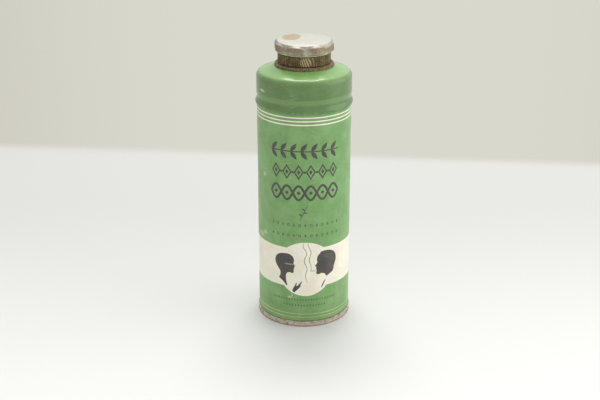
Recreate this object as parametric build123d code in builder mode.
"""A small tin for tooth powder: a rolled tinplate tube with a seamed-on bottom and a shoulder
crimped on above it, a brass neck clamped by a knurled ring nut, and a scalloped screw cap.

Millimetres, +Z up. The origin is the centre of the circle that the bottom rim stands on, and the
front of the printed tube faces -Y. Every wall is drawn as one line of its outer or upper surface,
then given its sheet thickness.
"""

from build123d import *
import os
from math import cos, radians, sin

# Driving dimensions
BODY_RADIUS = 19.0
TINPLATE = 0.22
BRASS = 0.4

# Tube and its bottom
TUBE_BOTTOM = 0.4
TUBE_TOP = 103.1
SEAM_HEIGHT = 2.45
SEAM_GAP = 0.15
SEAM_ROUND = 0.4
PANEL_HEIGHT = 2.3
PANEL_STEP = 0.4
PANEL_STEP_RADIUS = 13.0
LOCK_SEAM_WIDTH = 3.2
LOCK_SEAM_DEPTH = 0.5
LOCK_SEAM_GROOVE = 0.14
LOCK_SEAM_LOW = 3.2
LOCK_SEAM_HIGH = 92.6

# Shoulder
SHOULDER_RADIUS = 19.15
SHOULDER_GAP = 0.04
SKIRT_BOTTOM = 92.0
SKIRT_EDGE_RADIUS = 19.5
HEM_HEIGHT = 92.65
HEM_RADIUS = 19.62
HEM_ROUND = 0.4
GROOVE_LOW = 94.4
GROOVE_HIGH = 94.75
GROOVE_RADIUS = 18.9
GROOVE_ROUND = 0.5
GROOVE_TOP = 95.9
GROOVE_TOP_ROUND = 1.0
TUBE_GROOVE_BOTTOM = 93.1
CORNER_HEIGHT = 104.1
CORNER_ROUND = 1.2
SEAT_HEIGHT = 106.85
SEAT_RADIUS = 12.5
SEAT_ROUND = 3.0

# Closure, from the neck outwards
NECK_RADIUS = 9.3
NECK_HOLE_RADIUS = 9.85
NECK_TOP = 115.6
NECK_WALL = 0.45
NECK_FLANGE_RADIUS = 11.8
THREAD_PITCH = 1.6
THREAD_DEPTH = 0.45
THREAD_ROOT_WIDTH = 0.7
THREAD_CREST_WIDTH = 0.35
THREAD_SINK = 0.2
THREAD_BOTTOM = 108.5
NECK_THREAD_TURNS = 4.0
NUT_BORE_RADIUS = NECK_RADIUS + THREAD_DEPTH + 0.2
WASHER_RADIUS = 11.85
WASHER_THICKNESS = 1.15
WASHER_TOP_ROUND = 0.85
WASHER_EDGE_ROUND = 0.15
COLLAR_RADIUS = 10.55
COLLAR_HEIGHT = 4.1
COLLAR_CHAMFER = 0.25
COLLAR_THREAD_START = 108.5
COLLAR_THREAD_TURNS = 1.75
KNURL_COUNT = 66
KNURL_DEPTH = 0.24
SIFTER_HEIGHT = 3.6
SIFTER_SUNK = 0.3
SIFTER_ROUND = 0.5
SIFTER_HOLE_RADIUS = 0.65
SIFTER_RINGS = ((6, 2.8), (12, 5.6))

# Cap
CAP_BOTTOM = 112.25
CAP_TOP = 117.0
CAP_WALL = 0.35
LOBE_COUNT = 8
LOBE_ANGLE = -62.5
LOBE_RADIUS = 11.92
LOBE_SIDE_RADIUS = 11.8
LOBE_SIDE_ANGLE = 11.0
VALLEY_RADIUS = 11.25
CAP_TOP_ROUND = 0.6
CAP_CURL_CHAMFER = 0.9
CAVITY_CHAMFER = 0.55
CAP_MOUTH_RADIUS = 10.0
RING_BOTTOM = 113.15
RING_TOP = 115.5
RING_FLANGE_RADIUS = 10.75
RING_THREAD_START = 113.5
RING_THREAD_TURNS = 1.0
LINER_RADIUS = 10.2
LINER_BOTTOM = 115.68
LINER_THICKNESS = 0.9
LINER_FACING = 0.12

os.makedirs("parts", exist_ok=True)


def sheet_section(points, radii, thickness, side):
    """A formed sheet seen edge on: a filleted line thickened to one side, in the XZ plane."""
    with BuildSketch(Plane.XZ) as section:
        with BuildLine():
            FilletPolyline(*points, radius=radii)
            offset(amount=thickness, side=side)
        make_face()
    return section.sketch


def thread_ridge(root_radius, depth, start, turns):
    """A right-hand ridge that starts at +X; a negative depth points inwards, as in a nut."""
    side = 1 if depth > 0 else -1
    with BuildPart() as ridge:
        with BuildLine() as path:
            Helix(pitch=THREAD_PITCH, height=turns * THREAD_PITCH, radius=root_radius, center=(0, 0, start))
        with BuildSketch(Plane(origin=path.line @ 0, x_dir=(1, 0, 0), z_dir=path.line % 0)):
            with BuildLine():
                Polyline(
                    (-side * THREAD_SINK, -THREAD_ROOT_WIDTH / 2),
                    (depth, -THREAD_CREST_WIDTH / 2),
                    (depth, THREAD_CREST_WIDTH / 2),
                    (-side * THREAD_SINK, THREAD_ROOT_WIDTH / 2),
                    close=True,
                )
            make_face()
        sweep(path=path.line, is_frenet=True)
    return ridge.part


def nut_thread(start, turns):
    """The inward ridge of a nut on the neck, half a pitch above the neck's own ridge."""
    turned_to_mesh = 360 * ((start - THREAD_BOTTOM) / THREAD_PITCH - 1 / 2)
    return thread_ridge(NUT_BORE_RADIUS, -THREAD_DEPTH, start, turns).rotate(Axis.Z, turned_to_mesh)


def scalloped_outline(inset):
    """Corners of the cap's outline, smaller by the inset: one valley and one broad lobe in turn."""
    points = []
    for lobe in range(LOBE_COUNT):
        middle = LOBE_ANGLE + lobe * 360 / LOBE_COUNT
        for turn, radius in (
            (-LOBE_SIDE_ANGLE, LOBE_SIDE_RADIUS),
            (0, LOBE_RADIUS),
            (LOBE_SIDE_ANGLE, LOBE_SIDE_RADIUS),
            (180 / LOBE_COUNT, VALLEY_RADIUS),
        ):
            angle = radians(middle + turn)
            points.append(((radius - inset) * cos(angle), (radius - inset) * sin(angle)))
    return points


# Tube: one tinplate sheet rolled round, its edges locked in a folded seam down the back and lapped
# at the top, with the rolled groove that holds the shoulder and a slightly smaller top inside it.
groove_inside = GROOVE_RADIUS - TINPLATE - SHOULDER_GAP
top_inside = SHOULDER_RADIUS - TINPLATE - SHOULDER_GAP
tube_profile = sheet_section(
    [
        (BODY_RADIUS, TUBE_BOTTOM),
        (BODY_RADIUS, TUBE_GROOVE_BOTTOM),
        (groove_inside, GROOVE_LOW),
        (groove_inside, GROOVE_HIGH),
        (top_inside, GROOVE_TOP),
        (top_inside, TUBE_TOP),
    ],
    [GROOVE_ROUND, GROOVE_ROUND, GROOVE_ROUND, GROOVE_TOP_ROUND],
    TINPLATE,
    Side.LEFT,
)
seam_height = LOCK_SEAM_HIGH - LOCK_SEAM_LOW
seam_middle = BODY_RADIUS - TINPLATE / 2 - LOCK_SEAM_DEPTH / 2
with BuildPart() as body_tube:
    revolve(tube_profile, axis=Axis.Z)
    with BuildSketch(Plane.XY.offset(LOCK_SEAM_LOW)):
        with Locations((0, seam_middle)):
            Rectangle(LOCK_SEAM_WIDTH, LOCK_SEAM_DEPTH)
    extrude(amount=seam_height)
    with BuildSketch(Plane.XY):
        with Locations((LOCK_SEAM_WIDTH / 2, BODY_RADIUS)):
            Rectangle(2 * LOCK_SEAM_GROOVE, 2 * LOCK_SEAM_GROOVE, rotation=45)
    extrude(amount=LOCK_SEAM_HIGH, mode=Mode.SUBTRACT)
body_tube.part.label = "body_tube"
export_step(body_tube.part, "parts/body_tube.step")

# Bottom: a stamped end with a stepped panel, whose edge is folded down, out and up round the
# foot of the tube. The tin stands on the fold.
fold_inner = BODY_RADIUS - TINPLATE - SEAM_GAP
fold_outer = BODY_RADIUS + SEAM_GAP
end_profile = sheet_section(
    [
        (0, PANEL_HEIGHT - PANEL_STEP),
        (PANEL_STEP_RADIUS, PANEL_HEIGHT - PANEL_STEP),
        (PANEL_STEP_RADIUS + PANEL_STEP, PANEL_HEIGHT),
        (fold_inner, PANEL_HEIGHT),
        (fold_inner, TINPLATE),
        (fold_outer, TINPLATE),
        (fold_outer, SEAM_HEIGHT),
    ],
    [PANEL_STEP, PANEL_STEP, SEAM_ROUND, 0, 0],
    TINPLATE,
    Side.RIGHT,
)
with BuildPart() as base_end:
    revolve(end_profile, axis=Axis.Z)
base_end.part.label = "base_end"
export_step(base_end.part, "parts/base_end.step")

# Shoulder: a drawn tinplate top whose skirt slips over the tube, is rolled into its groove and
# flares into a hem below, with a round corner and a low cone up to the flat seat of the neck.
shoulder_profile = sheet_section(
    [
        (SKIRT_EDGE_RADIUS, SKIRT_BOTTOM),
        (HEM_RADIUS, HEM_HEIGHT),
        (GROOVE_RADIUS, GROOVE_LOW),
        (GROOVE_RADIUS, GROOVE_HIGH),
        (SHOULDER_RADIUS, GROOVE_TOP),
        (SHOULDER_RADIUS, CORNER_HEIGHT),
        (SEAT_RADIUS, SEAT_HEIGHT),
        (NECK_HOLE_RADIUS, SEAT_HEIGHT),
    ],
    [HEM_ROUND, GROOVE_ROUND, GROOVE_ROUND, GROOVE_TOP_ROUND, CORNER_ROUND, SEAT_ROUND],
    TINPLATE,
    Side.LEFT,
)
with BuildPart() as shoulder:
    revolve(shoulder_profile, axis=Axis.Z)
shoulder.part.label = "shoulder"
export_step(shoulder.part, "parts/shoulder.step")

# Neck: a threaded brass spout whose flange bears against the shoulder from inside.
flange_top = SEAT_HEIGHT - TINPLATE
neck_profile = sheet_section(
    [(NECK_FLANGE_RADIUS, flange_top), (NECK_RADIUS, flange_top), (NECK_RADIUS, NECK_TOP)],
    [0],
    NECK_WALL,
    Side.LEFT,
)
neck_thread = thread_ridge(NECK_RADIUS, THREAD_DEPTH, THREAD_BOTTOM, NECK_THREAD_TURNS)
with BuildPart() as threaded_neck:
    revolve(neck_profile, axis=Axis.Z)
    add(neck_thread)
threaded_neck.part.label = "threaded_neck"
export_step(threaded_neck.part, "parts/threaded_neck.step")

# Washer: a steel ring between the shoulder and the collar, its edge sloped off all round.
with BuildPart() as collar_washer:
    with BuildSketch(Plane.XY.offset(SEAT_HEIGHT)):
        Circle(WASHER_RADIUS)
        Circle(NECK_HOLE_RADIUS, mode=Mode.SUBTRACT)
    extrude(amount=WASHER_THICKNESS)
    round_edges = collar_washer.edges().filter_by(GeomType.CIRCLE).group_by(SortBy.RADIUS)
    outer_edges = round_edges[-1].sort_by(Axis.Z)
    fillet(outer_edges[-1], WASHER_TOP_ROUND)
    fillet(outer_edges[0], WASHER_EDGE_ROUND)
collar_washer.part.label = "collar_washer"
export_step(collar_washer.part, "parts/collar_washer.step")

# Collar: a knurled brass ring nut that clamps the washer, the shoulder and the neck together.
collar_bottom = SEAT_HEIGHT + WASHER_THICKNESS
collar_thread = nut_thread(COLLAR_THREAD_START, COLLAR_THREAD_TURNS)
with BuildPart() as knurled_collar:
    with BuildSketch(Plane.XY.offset(collar_bottom)):
        Circle(COLLAR_RADIUS)
    extrude(amount=COLLAR_HEIGHT)
    chamfer(knurled_collar.edges().filter_by(GeomType.CIRCLE), COLLAR_CHAMFER)
    with BuildSketch(Plane.XY.offset(collar_bottom)):
        Circle(NUT_BORE_RADIUS)
        with PolarLocations(COLLAR_RADIUS, KNURL_COUNT):
            Rectangle(2 * KNURL_DEPTH, 2 * KNURL_DEPTH, rotation=45)
    extrude(amount=COLLAR_HEIGHT, mode=Mode.SUBTRACT)
    add(collar_thread)
knurled_collar.part.label = "knurled_collar"
export_step(knurled_collar.part, "parts/knurled_collar.step")

# Sifter: a thin cup pushed up into the mouth of the neck, its top pierced with small holes.
sifter_top = NECK_TOP - SIFTER_SUNK
sifter_radius = NECK_RADIUS - NECK_WALL
sifter_profile = sheet_section(
    [(sifter_radius, sifter_top - SIFTER_HEIGHT), (sifter_radius, sifter_top), (0, sifter_top)],
    [SIFTER_ROUND],
    TINPLATE,
    Side.LEFT,
)
with BuildPart() as sifter_plug:
    revolve(sifter_profile, axis=Axis.Z)
    with BuildSketch(Plane.XY.offset(sifter_top)):
        Circle(SIFTER_HOLE_RADIUS)
        for count, ring_radius in SIFTER_RINGS:
            with PolarLocations(ring_radius, count):
                Circle(SIFTER_HOLE_RADIUS)
    extrude(amount=-2 * TINPLATE, mode=Mode.SUBTRACT)
sifter_plug.part.label = "sifter_plug"
export_step(sifter_plug.part, "parts/sifter_plug.step")

# Cap shell: plated brass with broad lobes round its side, curled in under the threaded ring.
cavity_bottom = CAP_BOTTOM + CAP_WALL
with BuildPart() as cap_cavity:
    with BuildSketch(Plane.XY.offset(cavity_bottom)):
        with BuildLine():
            Spline(*scalloped_outline(CAP_WALL), periodic=True)
        make_face()
    extrude(amount=CAP_TOP - CAP_WALL - cavity_bottom)
    fillet(cap_cavity.faces().sort_by(Axis.Z)[-1].edges(), CAP_TOP_ROUND - CAP_WALL)
    chamfer(cap_cavity.faces().sort_by(Axis.Z)[0].edges(), CAVITY_CHAMFER)
with BuildPart() as cap_shell:
    with BuildSketch(Plane.XY.offset(CAP_BOTTOM)):
        with BuildLine():
            Spline(*scalloped_outline(0), periodic=True)
        make_face()
    extrude(amount=CAP_TOP - CAP_BOTTOM)
    fillet(cap_shell.faces().sort_by(Axis.Z)[-1].edges(), CAP_TOP_ROUND)
    chamfer(cap_shell.faces().sort_by(Axis.Z)[0].edges(), CAP_CURL_CHAMFER)
    add(cap_cavity.part, mode=Mode.SUBTRACT)
    with BuildSketch(Plane.XY.offset(CAP_BOTTOM)):
        Circle(CAP_MOUTH_RADIUS)
    extrude(amount=2 * CAP_WALL, mode=Mode.SUBTRACT)
cap_shell.part.label = "cap_shell"
export_step(cap_shell.part, "parts/cap_shell.step")

# Threaded ring: a brass ferrule inside the cap, held by its flange over the shell's curl.
ring_profile = sheet_section(
    [(RING_FLANGE_RADIUS, RING_BOTTOM), (NUT_BORE_RADIUS, RING_BOTTOM), (NUT_BORE_RADIUS, RING_TOP)],
    [0],
    BRASS,
    Side.RIGHT,
)
ring_thread = nut_thread(RING_THREAD_START, RING_THREAD_TURNS)
with BuildPart() as cap_thread_ring:
    revolve(ring_profile, axis=Axis.Z)
    add(ring_thread)
cap_thread_ring.part.label = "cap_thread_ring"
export_step(cap_thread_ring.part, "parts/cap_thread_ring.step")

# Liner: a pulpboard disc that seals on the neck, with a thin waxed facing under it.
with BuildPart() as cap_liner:
    with BuildSketch(Plane.XY.offset(LINER_BOTTOM + LINER_FACING)):
        Circle(LINER_RADIUS)
    extrude(amount=LINER_THICKNESS - LINER_FACING)
cap_liner.part.label = "cap_liner"
export_step(cap_liner.part, "parts/cap_liner.step")

with BuildPart() as liner_facing:
    with BuildSketch(Plane.XY.offset(LINER_BOTTOM)):
        Circle(LINER_RADIUS)
    extrude(amount=LINER_FACING)
liner_facing.part.label = "liner_facing"
export_step(liner_facing.part, "parts/liner_facing.step")
